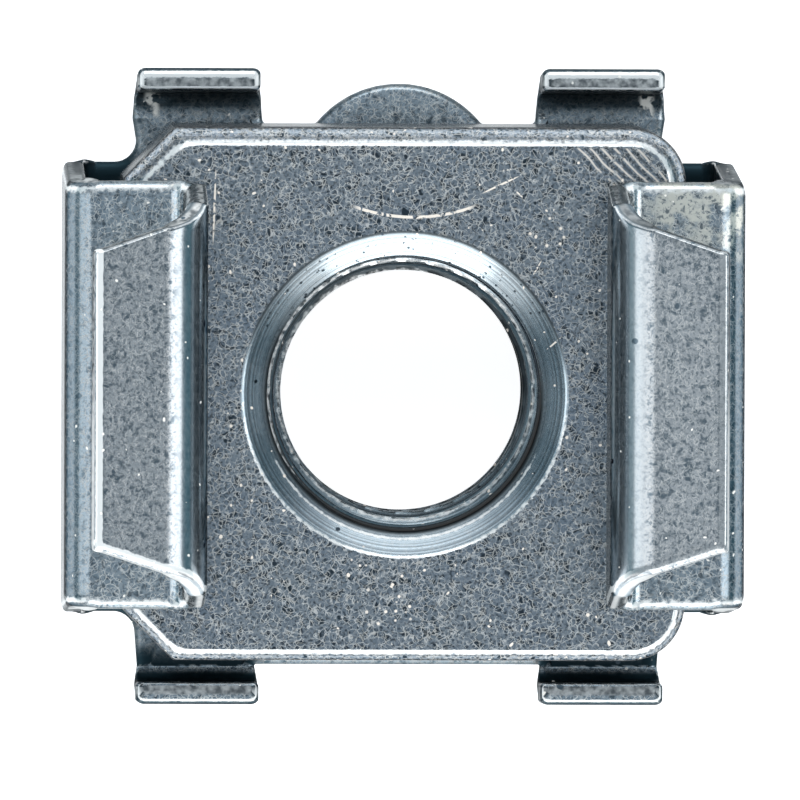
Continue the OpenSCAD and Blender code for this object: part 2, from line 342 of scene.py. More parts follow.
def bentSheet(path, width, rolls, across, bulge, tip, tone, grime, wear, deeper, hook):
    # a strip carried along a bent line: at each step a closed ring (inside face, edge, outside face, edge),
    # as wide as width says there, and closed at the tip by a shrinking set of rings
    # path: middle places, tangents, lengths, and bend (+1 squeezes the inside face, -1 the outside face)
    # rolls: width of the roll-over inside and outside at each step; tip: how far the tip's roll-over goes
    # along and across the sheet on each face, its corner rounding, between which angles of it the tip is
    # worn, how much painted shade its steep edge gets, and how much wider the roll-over is along the hook's
    # front; grime: the painted shade on the inside and the outside face at each step; tone,
    # wear, deeper, hook: tone of the lips, burnishing, extra sink of the outside roll-over, and 1 on the
    # hook, also at each step
    t = sheet["thickness"]
    middle, tangent, _, bend = path
    rollIn, rollOut = rolls
    m = len(edgeColumn())
    capAngle = np.radians(np.linspace(0, 90, 8))

    def ring(i, shrink, reach, burnish):
        # shrink and reach carry the rounding of the tip; zero elsewhere
        along, column = tangent[i], edgeColumn(deeper[i])
        inward = np.array([-along[1], along[0]])
        low, high = tip["sinkOut"] * shrink, t - tip["sinkIn"] * shrink
        half = width[i] / 2 - tip["corner"] * shrink
        rIn, rOut = rollIn[i], rollOut[i]
        rFront = rIn + tip["front"] * hook[i]
        yTop = np.linspace(rFront - half, half - rIn, across)
        yBottom = np.linspace(half - rOut, rOut - half, across)
        colHeight = low + column[:, 2] * (high - low) / t
        yCol = half - column[:, 0] * rIn - column[:, 1] * rOut
        yFront = half - column[:, 0] * rFront - column[:, 1] * rOut
        y = np.concatenate([yTop, yCol, yBottom, -yFront[::-1]])
        height = np.concatenate([np.full(across, high), colHeight, np.full(across, low), colHeight[::-1]])
        share = np.clip(height / t, 0, 1)
        squeezed = (share * 2 - 1) * bend[i]
        swelling = bulge * np.maximum(squeezed, -sheet["stretchLimit"])
        y = y + np.sign(y) * swelling * smooth(np.abs(y), half - sheet["bulgeReach"], half)
        offset = height - t / 2
        reachHere = reach * (tip["alongIn"] * share + tip["alongOut"] * (1 - share))
        x = middle[i][0] + inward[0] * offset + along[0] * reachHere
        z = middle[i][1] + inward[1] * offset + along[1] * reachHere
        rolled = np.maximum(column[:, 0], column[:, 1])
        cut, edge = (rolled < sheet["cutBelow"]).astype(float), wearAt(rolled) * wear[i]
        flat = np.zeros(across)
        sheared = np.concatenate([flat, cut, flat, cut[::-1]])
        # painted highlight along the hook's front edge
        frontEdge = np.maximum(edge, sheet["hookFrontHighlight"] * hook[i] * (rolled < 0.9) * (rolled > 0.35))
        wornAndHighlit = np.concatenate([flat, edge, flat, frontEdge[::-1]])
        # painted shade on the steep part of each roll-over, and on the outside half of the tip's rounding
        steep = tip["edgeShade"] * smooth(rolled, 0.35, 0.05) * (rolled > sheet["cutBelow"])
        shadeAndStain = np.concatenate([flat, steep, flat, steep[::-1] * (1 - hook[i])])
        if 0.0 < shrink < 0.98:
            shadeAndStain = np.maximum(shadeAndStain, tip["edgeShade"] * float(reach < 0.65) * (1 - share))
        shadeAndStain = np.maximum(shadeAndStain, np.maximum(grime[0][i] * share, grime[1][i] * (1 - share)))
        sheared, wornAndHighlit = np.maximum(sheared, shrink > 0.98), np.maximum(wornAndHighlit, burnish)
        return np.column_stack([x, y, z, sheared, share, wornAndHighlit, np.full(len(y), tone[i]), shadeAndStain])

    last = len(middle) - 1
    grid = [ring(i, 0.0, 0.0, 0.0) for i in range(len(middle))]
    wornFrom, wornTo = tip["wornAndHighlit"]
    grid += [ring(last, 1 - math.cos(a), math.sin(a), float(wornFrom < a < wornTo)) for a in capAngle[1:]]
    grid = np.stack(grid)
    rows, columns = grid.shape[:2]
    faces = gridFaces(rows, columns, False, True).reshape(-1, 4).tolist()
    # the last ring is closed by quads between its two faces and by one face at each end
    first = (rows - 1) * columns
    k = np.arange(across - 1)
    bottomOf = first + 2 * across + m - 1 - k
    faces += np.stack([first + k, first + k + 1, bottomOf - 1, bottomOf], axis=1).tolist()
    faces.append([first + across - 1 + i for i in range(m + 2)])
    faces.append([first + 2 * across + m - 1 + i for i in range(m + 1)] + [first])
    return grid.reshape(-1, 8), faces


def bentPath(pieces):
    # straights and arcs joined into one line of middle places, tangents, lengths and bends;
    # the bend is sin(angle) ** 0.7 along an arc, with the sign of its turn, and zero along a straight
    middle, tangent, bend = [], [], []
    for i, piece in enumerate(pieces):
        p, n = runAlong([piece])
        p, n = p[0], n[0]
        along = np.stack([-n[:, 1], n[:, 0]], axis=1)
        if piece[0] == "arc":
            turn = np.sign(piece[4] - piece[3])
            b = turn * np.sin(np.linspace(0, math.pi, len(p))) ** 0.7
        else:
            b = np.zeros(len(p))
        start = 1 if i else 0
        middle.append(p[start:])
        tangent.append(along[start:])
        bend.append(b[start:])
    middle, tangent, bend = np.concatenate(middle), np.concatenate(tangent), np.concatenate(bend)
    steps = np.linalg.norm(np.diff(middle, axis=0), axis=1)
    return middle, tangent, np.concatenate([[0], np.cumsum(steps)]), bend


def wingSurface():
    # foot fold, side wall, top fold, arm, riser fold, riser, lip fold and lip in one strip
    c, t = cage, sheet["thickness"]
    half = t / 2
    wallLine = c["wallX"] - c["wallFold"] - t
    foldR = c["wallFold"] + half
    low = c["wallFold"] + t
    armZ = t + c["nutHeight"] + c["nutRise"]
    high = armZ + t - low
    slotX = c["hookGap"] / 2 + t
    armR, lipR = c["riserFold"] + half, c["lipFold"] + half
    armX, lipX = slotX + c["riserFold"], slotX + c["lipFold"]
    riserZ = armZ + t + c["riserFold"]
    riserTop = armZ + t + c["panelSlot"] - c["lipFold"]
    rise = math.radians(c["lipRise"])
    lipRun = (c["lipSpan"] / 2 - lipX + c["lipFold"] * math.sin(rise)) / math.cos(rise)
    lipStart = np.array([lipX - lipR * math.sin(rise), riserTop + lipR * math.cos(rise)])
    lipEnd = lipStart + (lipRun - c["lipTipOut"]) * np.array([math.cos(rise), math.sin(rise)])
    path = bentPath([
        ("arc", (wallLine, low), foldR, -90, 0, 12),
        ("line", (wallLine + foldR, low), (wallLine + foldR, high), 10, 0.03),
        ("arc", (wallLine, high), foldR, 0, 90, 14),
        ("line", (wallLine, armZ + half), (armX, armZ + half), 8, 0.03),
        ("arc", (armX, riserZ), armR, 270, 180, 14),
        ("line", (armX - armR, riserZ), (armX - armR, riserTop), 8, 0.03),
        ("arc", (lipX, riserTop), lipR, 180, 90 + c["lipRise"], 20),
        ("line", lipStart, lipEnd, 12, 0.03),
    ])
    # widths at marked lengths along the strip, joined by straight tapers
    length = path[2]
    wallEnd = foldR * math.pi / 2 + high - low
    armStart = wallEnd + foldR * math.pi / 2
    riserStart = armStart + wallLine - armX + armR * math.pi / 2
    riserEnd = riserStart + riserTop - riserZ
    lipBegin = riserEnd + lipR * (math.pi / 2 - rise)
    marks = [0, foldR * math.pi / 2, wallEnd, armStart + wallLine - armX, riserStart, riserEnd]
    marks += [riserEnd + lipR * math.radians(turn) for turn in c["lipTurns"]] + [lipBegin, length[-1]]
    widths = [c["footWidth"]] * 2 + [c["armWidth"]] * 2 + [c["riserRootWidth"], c["riserTopWidth"]]
    widths += [*c["lipTurnWidths"], c["lipRootWidth"], c["lipWidth"]]
    width = np.interp(length, marks, widths)
    # the roll-over starts as the plate's, is wide on wall and arm, and narrow on the hook
    turns = [0, 0.6, riserEnd, lipBegin, length[-1]]

    def alongStrip(key):
        parts = ("plate", "wing", "wing", "hook", "hook")
        return np.interp(length, turns, [sheet[part + key] for part in parts])

    # tone: 0 up to the riser's end and 1 on the lip
    tone = smooth(length, riserEnd, lipBegin)
    # painted shade lies inside along the wall's foot, and outside where the wall turns into its top fold
    atFold = 1 - smooth(length, wallEnd + foldR * 0.2, wallEnd + foldR * 0.5)
    atFold = smooth(length, wallEnd - 0.15, wallEnd) * atFold
    grime = (1.0 - smooth(length, 0.1, wallEnd * 0.6), 0.8 * atFold)
    tip = dict(alongIn=c["lipTipIn"], alongOut=c["lipTipOut"], sinkIn=sheet["sagIn"], sinkOut=sheet["sagOut"],
               corner=0.08, wornAndHighlit=(0.1, 1.1), edgeShade=0.7, front=c["frontRoll"])
    rolls = (alongStrip("In"), alongStrip("Out"))
    hook = smooth(length, riserStart - 0.3, riserStart + 0.3)
    # the riser's corner is rolled round
    onRiser = smooth(length, riserStart - 0.5, riserStart) * (1 - tone)
    deeper = 1 + c["riserSink"] * onRiser
    return bentSheet(path, width, rolls, c["acrossWing"], c["foldBulge"], tip, tone, grime,
                     alongStrip("Wear"), deeper, hook)


def tabSurface(rootY, fillet, rootWidth, lean, wornAndHighlit, shadeAndStain):
    # neck, fold and upright, which leans outwards a little; made along x and turned to its place afterwards
    c, t = cage, sheet["thickness"]
    foldR = c["tabFold"] + t / 2
    foldY = c["tabSpan"] / 2 - c["tabFold"] - t
    start = rootY + fillet
    turned = math.radians(lean)
    bendEnd = (foldY + foldR * math.cos(turned), foldR + t / 2 - foldR * math.sin(turned))
    upright = c["tabHeight"] - c["tabTipOut"] - bendEnd[1]
    path = bentPath([
        ("line", (start, t / 2), (foldY, t / 2), 3, 0.01),
        ("arc", (foldY, foldR + t / 2), foldR, -90, -lean, 14),
        ("line", bendEnd, (bendEnd[0] + upright * math.tan(turned), bendEnd[1] + upright), 5, 0.03),
    ])
    length, neck = path[2], foldY - start
    none = 0 * length
    width = np.interp(length, [0, neck + foldR * 1.2, length[-1]], [rootWidth, c["tabWidth"], c["tabWidth"]])
    rollIn = np.interp(length, [0, neck], [sheet["plateIn"], sheet["tabIn"]])
    rollOut = np.interp(length, [0, neck], [sheet["plateOut"], sheet["tabOut"]])
    # painted shade on the inside face, from the root and fading out above the fold
    grime = shadeAndStain * smooth(length, 0.0, 0.3) * (1.0 - smooth(length, neck + foldR, length[-1]))
    tip = dict(alongIn=0.10, alongOut=c["tabTipOut"], sinkIn=0.07, sinkOut=0.23, corner=0.14, wornAndHighlit=wornAndHighlit,
               edgeShade=1.0, front=0.0)
    return bentSheet(path, width, (rollIn, rollOut), c["acrossTab"], c["tabBulge"], tip, none, (grime, none),
                     none + sheet["tabWear"], none + 1, none)


def cageSheet(material):
    # plate, two wings and four tabs share their rows where they meet, so merging doubles makes one sheet
    points, faces = plateSurface()
    faces = faces.tolist()

    def add(part, turn):
        nonlocal points, faces
        newPoints, newFaces = part
        place = newPoints.copy()
        place[:, :3] = turn(newPoints)
        faces = faces + [[i + len(points) for i in face] for face in newFaces]
        points = np.concatenate([points, place])

    c = cage
    wing = wingSurface()
    add(wing, lambda p: p[:, :3])
    add(wing, lambda p: p[:, :3] * [-1, 1, 1])
    upper, lower = (
        tabSurface(c[plate], c[row + "Fillet"], c[row + "RootWidth"], c[row + "Lean"], *c[row + "Marks"])
        for row, plate in (("upper", "plateUp"), ("lower", "plateDown")))
    for side in (-1, 1):
        add(upper, lambda p: np.column_stack([p[:, 1] + side * c["tabPitch"] / 2, p[:, 0], p[:, 2]]))
        add(lower, lambda p: np.column_stack([p[:, 1] + side * c["tabPitch"] / 2, -p[:, 0], p[:, 2]]))
    values = dict(zip(("sheared", "inside", "burnish", "lipTone", "grime"), points[:, 3:].T))
    return makePiece("cageSheet", points[:, :3], faces, values, material, 50)


nut = dict(
    width=11.55, depth=10.95, height=cage["nutHeight"], lift=sheet["thickness"],
    crop=1.05, roll=1.15,
    threadMinor=5.0, threadMajor=6.0, pitch=1.0,
    countersink=6.68, countersinkAngle=105.0,
    leadIn=5.64, leadInDepth=2.0,   # the opened-up first turns at the front
    # the tumbled bevel: slope in degrees at each distance from the side, from the face outwards
    bevelInset=(0.40, 0.385, 0.34, 0.30, 0.19, 0.13, 0.08, 0.0),
    bevelSlope=(0.0, 12.0, 30.0, 36.0, 40.0, 46.0, 55.0, 86.0),
    frontShare=0.62,   # width of the bevel along the front against that along the back
    cropSoftness=0.10,
    shallowTurns=1.2,   # depth above which the thread is cut no deeper than the lead-in's rim
    # burnish on the nut, also painted as highlights
    bevelWearAndHighlight=0.8, rimWearAndHighlight=0.7, landWearAndHighlight=0.75, lineWearAndHighlight=0.8,
    # painted shade in the bevel's line, on the side, in the crease and in the bore; the rim's dirt is a real
    # stain
    bevelShade=0.7, sideShade=0.5, rimDirt=0.8, creaseShade=1.2, frontBoreShade=0.35, backBoreShade=0.5,
    aroundCrop=6, aroundRoll=18, boreRows=112,
)


def nutOutline(inset):
    # the nut's outline moved inwards by inset, from the middle of its right side round to the same place:
    # rolled corners on the right lose radius, cropped corners on the left stay at forty-five degrees
    n = nut
    x, y = n["width"] / 2 - inset, n["depth"] / 2 - inset
    roll, crop = n["roll"] - inset, n["crop"] - inset * (2 - math.sqrt(2))
    cropR = n["cropSoftness"] + 2.2 * inset
    bend = cropR * math.tan(math.radians(22.5))
    slant = bend * math.sqrt(0.5)
    places, normals = runAlong([
        ("line", (x, 0), (x, y - roll), 34, 0.03),
        ("arc", (x - roll, y - roll), roll, 0, 90, n["aroundRoll"]),
        ("line", (x - roll, y), (crop - x + bend, y), 86, 0.03),
        ("arc", (crop - x + bend, y - cropR), cropR, 90, 135, n["aroundCrop"]),
        ("line", (crop - x - slant, y - slant), (slant - x, y - crop + slant), 12, 0.03),
        ("arc", (cropR - x, y - crop - bend), cropR, 135, 180, n["aroundCrop"]),
        ("line", (-x, y - crop - bend), (-x, 0), 36, 0.03),
    ])
    p = np.concatenate([places[0]] + [q[1:] for q in places[1:]])
    return np.concatenate([p, p[::-1][1:-1] * [1, -1]])


def threadRadius(angle, z):
    # a sixty degree groove that climbs one pitch a turn, right-handed: flat crest at the minor radius, flat
    # root at the major; the phase is z / pitch - angle / turn
    n = nut
    crest, root = n["threadMinor"] / 2, n["threadMajor"] / 2
    phase = np.mod(z / n["pitch"] - angle / (2 * math.pi), 1.0)
    away = np.abs(phase - 0.5) * n["pitch"]      # distance from the middle of the groove
    flank = (away - n["pitch"] / 16) / (n["pitch"] * 5 / 16)
    return root - (root - crest) * np.clip(flank, 0, 1)


def nutSurface(material):
    # a ring of stations, each with one closed loop: front face outwards, bevel, side, rear bevel, rear face
    # inwards, and up the bore
    n = nut
    place = nutOutline(0.0)
    count = len(place)
    angle = np.arctan2(place[:, 1], place[:, 0])
    ray = np.stack([np.cos(angle), np.sin(angle)], axis=1)
    h, lift = n["height"], n["lift"]
    sinkR, leadR = n["countersink"] / 2, n["leadIn"] / 2

    # bevel profile from the flat face outwards, as (inset from the side, drop below the face):
    # the drop grows by the tangent of the slope over each small step
    inset = np.interp(np.linspace(0, 7, 22), np.arange(8), n["bevelInset"])
    slope = np.interp(-inset, -np.array(n["bevelInset"]), n["bevelSlope"])
    middles = np.radians((slope[1:] + slope[:-1]) / 2)
    drop = np.stack([inset, np.concatenate([[0], np.cumsum(-np.diff(inset) * np.tan(middles))])], axis=1)

    # the bevel is narrower along the front than along the back
    toFront = smooth(-place[:, 1], -1.5, 1.5)[:, None]

    def bevelLine(inset):
        return nutOutline(inset) * (1 - toFront) + nutOutline(inset * n["frontShare"]) * toFront

    loops = []

    def addLoop(flat, z, mark, burnish=0.0, grime=0.0):
        values = [np.broadcast_to(value, (count,)) for value in (z + lift, mark, burnish, grime)]
        loops.append(np.column_stack([flat, *values]))

    def faceRows(z, order):
        begin = ray * (sinkR + 0.03)
        end = bevelLine(drop[0, 0])
        rows = np.concatenate([[0.0, 0.01], np.linspace(0, 1, 16)[1:-1], [0.99]])
        for s in rows[::order]:
            addLoop(begin * (1 - s) + end * s, z, 0)

    faceRows(h, 1)
    for inset, d in drop:
        # the bevel's shoulder is rubbed bright and also painted as a highlight, and painted shade lies in the
        # line below it and on the side
        wear = np.exp(-((inset - 0.32) / (0.07 + 0.04 * toFront[:, 0])) ** 2) * n["bevelWearAndHighlight"]
        shadeAndStain = n["bevelShade"] * math.exp(-((inset - 0.21) / 0.025) ** 2) + n["sideShade"] * (inset < 0.05)
        addLoop(bevelLine(inset), h - d, 1, wear, shadeAndStain)
    for s in np.linspace(0, 1, 7)[1:-1]:
        addLoop(place, (h - drop[-1, 1]) * (1 - s) + drop[-1, 1] * s, 2)
    for inset, d in drop[::-1]:
        addLoop(bevelLine(inset), d, 1)
    faceRows(0.0, -1)
    # bore: the widest of the thread, the two countersinks and the front's lead-in at each height
    z = np.linspace(0.05, h - 0.05, n["boreRows"])
    z = np.concatenate([[0.0, 0.004, 0.02], z, [h - 0.02, h - 0.004, h]])
    minorR, majorR = n["threadMinor"] / 2, n["threadMajor"] / 2
    spreadOf = math.tan(math.radians(n["countersinkAngle"] / 2))
    leadStart = (sinkR - leadR) / spreadOf
    leadTaper = (leadR - minorR) / (n["leadInDepth"] - leadStart)
    right, back = ray.T
    toFrontLeft = smooth(-back - 0.3 * right, -0.8, 0.1)
    for level in z:
        fromFace, below = min(level, h - level), h - level - leadStart   # below: under the front countersink
        cone = sinkR - fromFace * spreadOf
        cone = max(cone, leadR - below * leadTaper if below > 0 else 0.0)
        thread = threadRadius(angle, level)
        thread = np.minimum(thread, leadR if level > h - n["shallowTurns"] else np.inf)
        radius = np.maximum(thread, cone) + 0.03 * math.exp(-fromFace / 0.008)
        # the rim, the lands' edges and a line under the countersink are rubbed bright and also painted as
        # highlights
        rim = math.exp(-((fromFace - 0.01) / 0.03) ** 2)
        land = np.exp(-((thread - cone - 0.02) / 0.05) ** 2) * smooth(level, h - 2.6, h - 1.9)
        land = land * (level < h - leadStart - 0.2)
        line = math.exp(-((below + 0.11) / 0.03) ** 2) * smooth(-back, 0.2, 0.6)
        wornAndHighlit = np.maximum(n["rimWearAndHighlight"] * rim * smooth(-back, -0.3, 0.5), n["landWearAndHighlight"] * land)
        wornAndHighlit = np.maximum(wornAndHighlit, n["lineWearAndHighlight"] * line)
        # painted shade darkens the roots, the lower bore and the crease under the countersink, and a real
        # stain the back of the rim
        root = (thread > cone) * smooth(thread, minorR + 0.1, majorR)
        bore = n["frontBoreShade"] + n["backBoreShade"] * smooth(back + 0.5 * right, -0.2, 0.6)
        bore = bore * smooth(level, h - leadStart - 0.9, h - leadStart - 1.5)
        crease = n["creaseShade"] * math.exp(-(below / (0.26 if below > 0 else 0.055)) ** 2) * toFrontLeft
        stain = n["rimDirt"] * rim * smooth(back, 0.1, 0.5)
        shadeAndStain = np.clip(np.maximum.reduce([root, bore, crease, stain]), 0, 1)
        addLoop(ray * radius[:, None], level, 3, wornAndHighlit, shadeAndStain)
    grid = np.stack(loops, axis=1)
    quads = gridFaces(count, len(loops), True, True).reshape(-1, 4)
    grid = grid.reshape(-1, 6)
    values = dict(zip(("region", "burnish", "grime"), grid[:, 3:].T))
    return makePiece("nutBody", grid[:, :3], quads.tolist(), values, material, 40)


def newMaterial(name):
    material = bpy.data.materials.new(name)
    material.use_nodes = True
    material.node_tree.nodes.clear()
    return material


# settings that the nodes of materials and world share
times, plus, minus, larger, apart, timesPlus, distance, size = (
    dict(operation=name) for name in
    ("MULTIPLY", "ADD", "SUBTRACT", "MAXIMUM", "ABSOLUTE", "MULTIPLY_ADD", "DISTANCE", "LENGTH"))
soft, colours = dict(interpolation_type="SMOOTHSTEP"), dict(data_type="RGBA")


def within(add, mask, *ranges):
    # the mask times a soft step for each value: 0 at its low end and 1 at its high end, or as given last
    for value, *limits in ranges:
        mask = add("Math", times, mask, add("MapRange", soft, value, *limits))
    return mask


# noise scales in cells a millimetre; real crystals are finer, and grain and net are drawn coarser to show
noise = dict(curl=4.0, breakup=7.0, cloud=0.9, grain=16.0, ragged=9.0, fracture=6.0, glints=4.5, salts=1.7,
             rings=14.0, peppered=5.0, patches=3.0, chips=6.5, grooves=1.2)


def zincPlate(name, settings, marks):
    # electroplated zinc with a clear blue passivate: a cool grey metal whose crystals leave a fine curly net
    # of pale lines, with bright specks, dull dark cells, edges burnished nearly white and grey speckled
    # fracture where it was cut, plus painted shade in hollows and on steep faces and painted highlights
    # and glints on some edges and folds
    material = newMaterial(name)
    add = functools.partial(addNode, material.node_tree)
    place = add("Mapping", None, add("TexCoord", out="Object"), Scale=(1000, 1000, 1000))
    grime, wornAndHighlit = (add("Attribute", dict(attribute_name=key), out="Fac") for key in ("grime", "burnish"))
    colour = {key: hexToLinear(value) for key, value in settings.items() if isinstance(value, str)}

    # everything is drawn in gently curled millimetres
    curl = add("TexNoise", None, place, Scale=noise["curl"], Detail=1.0, out="Color")
    curl = add("VectorMath", minus, curl, (0.5, 0.5, 0.5))
    curled = add("VectorMath", timesPlus, curl, (settings["curl"],) * 3, place)
    # the net: places where noise passes its middle value, in two sizes, and the borders of small cells
    net = add("TexVoronoi", dict(feature="DISTANCE_TO_EDGE"), Vector=curled, Scale=settings["cellScale"])
    net = add("MapRange", soft, net, 0.0, 0.10, 0.9, 0.0)
    for scale, width in settings["threads"]:
        thread = add("Math", minus, add("TexNoise", None, curled, Scale=scale, Detail=1.0), 0.5)
        thread = add("MapRange", soft, add("Math", apart, thread), 0.0, width, 1.0, 0.0)
        net = add("Math", larger, net, thread)
    breakup = add("TexNoise", None, place, Scale=noise["breakup"])
    net = within(add, net, (breakup, 0.34, 0.56, 0.25, 1.0))

    # dull cells, cloudy tone, specks and pits
    cloud = add("TexNoise", None, place, Scale=noise["cloud"], Detail=3.0)
    grain = add("TexNoise", None, place, Scale=noise["grain"])
    ragged = add("TexNoise", None, place, Scale=noise["ragged"], Detail=3.0)
    dull = add("MapRange", soft, add("TexNoise", None, curled, Scale=settings["dullScale"]), 0.50, 0.68)
    dull = add("Math", larger, dull, add("MapRange", soft, grain, 0.30, 0.52, settings["grainShare"], 0.0))
    spots = []
    for scale, start, widest in settings["spots"]:
        cells = add("TexVoronoi", None, Vector=curled, Scale=scale)
        chance = add("SeparateColor", None, add("TexVoronoi", None, Vector=curled, Scale=scale, out="Color"))
        radius = add("MapRange", soft, chance, start, 1.0, 0.0, widest)
        spots.append(add("MapRange", soft, add("Math", minus, radius, cells), 0.0, 0.05))
    specks, pits = spots
    # burnished edges with their painted highlights, broken up along their borders
    wornAndHighlit = add("Math", plus, wornAndHighlit, add("MapRange", None, ragged, 0.0, 1.0, -0.55, 0.55))
    wornAndHighlit = add("MapRange", soft, wornAndHighlit, 0.30, 0.75)

    face = add("Mix", colours, cloud, i6=colour["dark"], i7=colour["mid"], out=2)
    if marks:
        # turned faces of the bore and countersink are smoother, with fine rings
        turned = add("MapRange", soft, add("Attribute", dict(attribute_name="region"), out="Fac"), 2.2, 2.8)
        rough = add("MapRange", None, turned, 0.0, 1.0, 1.0, 0.25)
        net, dull = add("Math", times, net, rough), add("Math", times, dull, rough)
        face = add("Mix", colours, turned, i6=face, i7=colour["turned"], out=2)
        fromAxis = add("VectorMath", times, place, (1, 1, 0))
        fromAxis = add("VectorMath", size, fromAxis, out="Value")
        height = add("SeparateXYZ", None, place, out="Z")
        rings = add("CombineXYZ", None, add("Math", times, fromAxis, noise["rings"]), height, 0.0)
        rings = add("MapRange", soft, add("TexNoise", None, rings, Scale=1.5, Detail=2.0), 0.35, 0.65)
        dull = add("Math", larger, dull, add("Math", times, add("Math", times, rings, turned), 0.7))
    else:
        # the lips' upper sides are a warmer grey with less of the net
        onLip = add("Attribute", dict(attribute_name="lipTone"), out="Fac")
        face = add("Mix", colours, onLip, i6=face, i7=colour["warm"], out=2)
        net = add("Math", times, net, add("MapRange", None, onLip, 0.0, 1.0, 1.0, 0.5))
        # the bend between riser and lip is stretched smooth
        bend = add("MapRange", soft, add("Math", apart, add("Math", minus, onLip, 0.5)), 0.42, 0.5, 0.3, 1.0)
        net, dull = add("Math", times, net, bend), add("Math", times, dull, bend)
    face = add("Mix", colours, dull, i6=face, i7=colour["deep"], out=2)
    lines = add("Math", times, net, settings["netShare"])
    face = add("Mix", colours, lines, i6=face, i7=colour["pale"], out=2)
    chalky = add("Math", times, net, settings["netChalk"])
    smoothest, roughest = settings["roughness"] - 0.05, settings["roughness"] + 0.05
    roughness = add("MapRange", None, grain, 0.0, 1.0, smoothest, roughest)
    if marks:
        light, dark = marks(add, place, ragged)
        specks, pits = add("Math", larger, specks, light), add("Math", larger, pits, dark)
    else:
        x, y, z = (add("SeparateXYZ", None, place, out=axis) for axis in "XYZ")
        # cuts are speckled fracture, rougher, and darker on the right hook
        fracture = add("TexNoise", None, place, Scale=noise["fracture"])
        fracture = add("MapRange", soft, fracture, 0.3, 0.7)
        raised = add("MapRange", soft, z, 3.0, 4.0)
        rightHand = within(add, raised, (x, -1.0, 1.0))
        fracture = add("Math", times, fracture, add("MapRange", None, rightHand, 0.0, 1.0, 1.0, 0.35))
        # painted shade: below the hooks a cut is darkened towards the inside, except beyond the plate's sides
        share = add("Attribute", dict(attribute_name="inside"), out="Fac")
        lit = add("Math", larger, raised, add("MapRange", soft, share, 0.35, 0.6, 0.7, 0.0))
        lit = add("Math", larger, lit, add("MapRange", soft, add("Math", apart, x), 5.6, 6.0, 1.0, 0.0))
        fracture = add("Math", times, fracture, lit)
        fracture = add("Mix", colours, fracture, i6=colour["fractureDark"], i7=colour["fracturePale"], out=2)
        # painted highlight: the hooks' front ends are painted bright
        frontHighlight = within(add, raised, (y, -1.0, 1.0, settings["frontHighlight"], 0.0))
        fracture = add("Mix", colours, frontHighlight, i6=fracture, i7=colour["bright"], out=2)
        sheared = add("Attribute", dict(attribute_name="sheared"), out="Fac")
        # painted shade: the walls and their folds are darkened
        wall = add("MapRange", soft, add("Math", apart, x), 6.1, 6.8, 0.0, 0.7)
        face = add("Mix", colours, wall, i6=face, i7=colour["deep"], out=2)
        # painted glints in the upper tabs' folds, near their outer ends
        glints = add("MapRange", soft, add("TexNoise", None, place, Scale=noise["glints"]), 0.46, 0.56)
        endX, foldY = settings["glintsAt"]
        fromEnd = add("Math", apart, add("Math", minus, add("Math", apart, x), endX))
        fromFold = add("Math", apart, add("Math", minus, y, foldY))
        glints = within(add, glints, (fromEnd, 0.08, 0.2, 1.0, 0.0), (fromFold, 0.22, 0.35, 1.0, 0.0),
                        (z, 0.4, 1.3, 1.0, 0.0))
        # pale salts have settled on the back end of the right arm
        salts = add("TexNoise", None, place, Scale=noise["salts"], Detail=3.0)
        salts = add("MapRange", soft, salts, 0.36, 0.50)
        fromX, fromY, fromZ = settings["saltsFrom"]
        salts = within(add, salts, (x, *fromX), (y, *fromY), (z, *fromZ), (onLip, 0.0, 0.2, 1.0, 0.0),
                       (dull, 0.2, 0.9, 0.9, 0.2))
        face = add("Mix", colours, salts, i6=face, i7=colour["salts"], out=2)
        chalky = add("Math", larger, chalky, add("Math", times, salts, 0.6))
        chalky = add("Math", larger, chalky, add("Math", times, add("Math", times, frontHighlight, sheared), 0.55))
        face = add("Mix", colours, sheared, i6=face, i7=fracture, out=2)
        roughness = add("Math", timesPlus, sheared, 0.22, roughness)
        # the right lip's free edge gets little burnish and painted highlight
        spared = within(add, rightHand, (onLip, 0.5, 0.9, 0.0, 0.75))
        wornAndHighlit = add("Math", times, wornAndHighlit, add("Math", minus, 1.0, spared))
    # painted shade, and on the nut also the rim's stain, darken the colour and roughen the surface
    roughness = add("Math", timesPlus, grime, 0.2, roughness)
    layers = [(grime, "grime"), (pits, "deep"), (wornAndHighlit, "bright"), (specks, "speck")]
    # the painted glints take the speck colour
    if not marks:
        layers.append((glints, "speck"))
        specks = add("Math", larger, specks, glints)
    for mask, key in layers:
        face = add("Mix", colours, mask, i6=face, i7=colour[key], out=2)
    # the brightest marks are bare zinc salts and scuffs, with the painted highlights and glints, which
    # scatter like chalk instead of mirroring
    for mask, share in ((grime, 0.25), (wornAndHighlit, settings["wornChalk"]), (specks, 0.9)):
        chalky = add("Math", larger, chalky, add("Math", times, mask, share))
    height = cloud
    for mask, rise in ((net, 0.5), (grain, 0.3), (pits, -0.8)):
        height = add("Math", timesPlus, mask, rise, height)
    bump = add("Bump", None, Strength=settings["bump"], Distance=0.00001, Height=height)
    shader = add("BsdfPrincipled", None, face, add("Math", minus, 1.0, chalky), roughness, Normal=bump,
                 Specular_Tint=colour["grazing"])
    add("OutputMaterial", None, shader)
    return material


